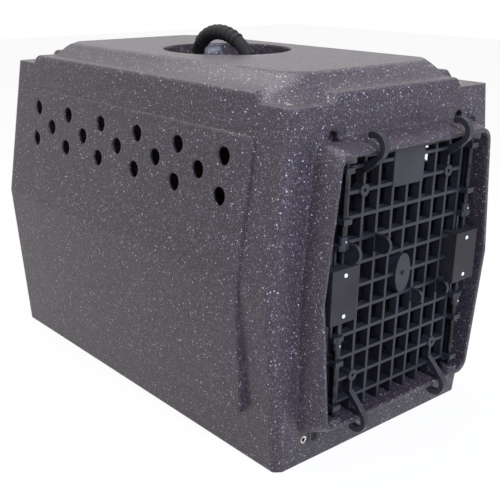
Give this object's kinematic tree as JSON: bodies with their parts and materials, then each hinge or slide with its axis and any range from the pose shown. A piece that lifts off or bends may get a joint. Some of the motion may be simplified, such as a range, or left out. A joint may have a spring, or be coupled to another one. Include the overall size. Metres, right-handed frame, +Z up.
{
  "type": "pet transport carrier",
  "caption": "Moulded plastic pet transport kennel with a grid door on spring rods, side vents, a folding strap handle in a roof well and threaded inserts.",
  "frame": {"origin": "middle of the base on the ground, under the centre of the whole outer box", "axes": "+Z up, the door faces -Y, X runs across the carrier, with the hinge rods at +X"},
  "size_m": [0.508, 0.8288, 0.6185],
  "materials": {
    "shell": "charcoal moulded polyethylene with fine light and dark speckles",
    "bush": "dark moulded",
    "insert": "bright plated",
    "door_plastic": "black moulded, satin edges",
    "latch_plastic": "black moulded, fine grain",
    "dark_screw": "black oxide",
    "rod_steel": "dark plated",
    "spring_steel": "bright",
    "grip_rubber": "matte black ribbed",
    "handle_plastic": "black strap",
    "bright_steel": "bright plated"
  },
  "bodies": {
    "carrier": {"shell": "shell", "rod_bushes": "bush", "roof_inserts": "insert", "front_inserts": "insert", "handle_brackets": "handle_plastic", "handle_pins": "bright_steel", "handle_screws": "bright_steel"},
    "door": {"door_grid": "door_plastic", "keeper_hooks": "door_plastic", "door_centre_screw": "dark_screw", "housing_left": "latch_plastic", "housing_right": "latch_plastic", "cover_left": "latch_plastic", "cover_right": "latch_plastic", "cover_screws": "dark_screw", "spring_upper_left": "spring_steel", "spring_lower_left": "spring_steel", "spring_upper_right": "spring_steel", "spring_lower_right": "spring_steel"},
    "left_upper_rod": {"rod_upper_left": "rod_steel", "pull_upper_left": "door_plastic", "pin_upper_left": "bright_steel"},
    "right_upper_rod": {"rod_upper_right": "rod_steel", "pull_upper_right": "door_plastic", "pin_upper_right": "bright_steel"},
    "left_lower_rod": {"rod_lower_left": "rod_steel", "pull_lower_left": "door_plastic", "pin_lower_left": "bright_steel"},
    "right_lower_rod": {"rod_lower_right": "rod_steel", "pull_lower_right": "door_plastic", "pin_lower_right": "bright_steel"},
    "handle": {"handle_grip": "grip_rubber", "handle_core": "handle_plastic"}
  },
  "joints": [
    {"name": "door_hinge", "type": "hinge", "parent": "carrier", "child": "door", "pos_m": [0.14, -0.38562, 0.279], "axis": [0, 0, 1], "range_deg": [0, 105]},
    {"name": "upper_left_rod_slide", "type": "slide", "parent": "door", "child": "left_upper_rod", "axis": [0, 0, 1], "range_m": [0, 0.014], "deforming": ["spring_upper_left"]},
    {"name": "upper_right_rod_slide", "type": "slide", "parent": "door", "child": "right_upper_rod", "axis": [0, 0, 1], "range_m": [-0.014, 0], "stiffness_N_per_m": 300, "springref_m": 0.02, "deforming": ["spring_upper_right"]},
    {"name": "lower_left_rod_slide", "type": "slide", "parent": "door", "child": "left_lower_rod", "axis": [0, 0, -1], "range_m": [0, 0.014], "deforming": ["spring_lower_left"]},
    {"name": "lower_right_rod_slide", "type": "slide", "parent": "door", "child": "right_lower_rod", "axis": [0, 0, -1], "range_m": [-0.014, 0], "stiffness_N_per_m": 300, "springref_m": 0.02, "deforming": ["spring_lower_right"]},
    {"name": "handle_fold", "type": "hinge", "parent": "carrier", "child": "handle", "pos_m": [0, 0.03687, 0.549], "axis": [0, 1, 0], "range_deg": [-70, 90]}
  ]
}
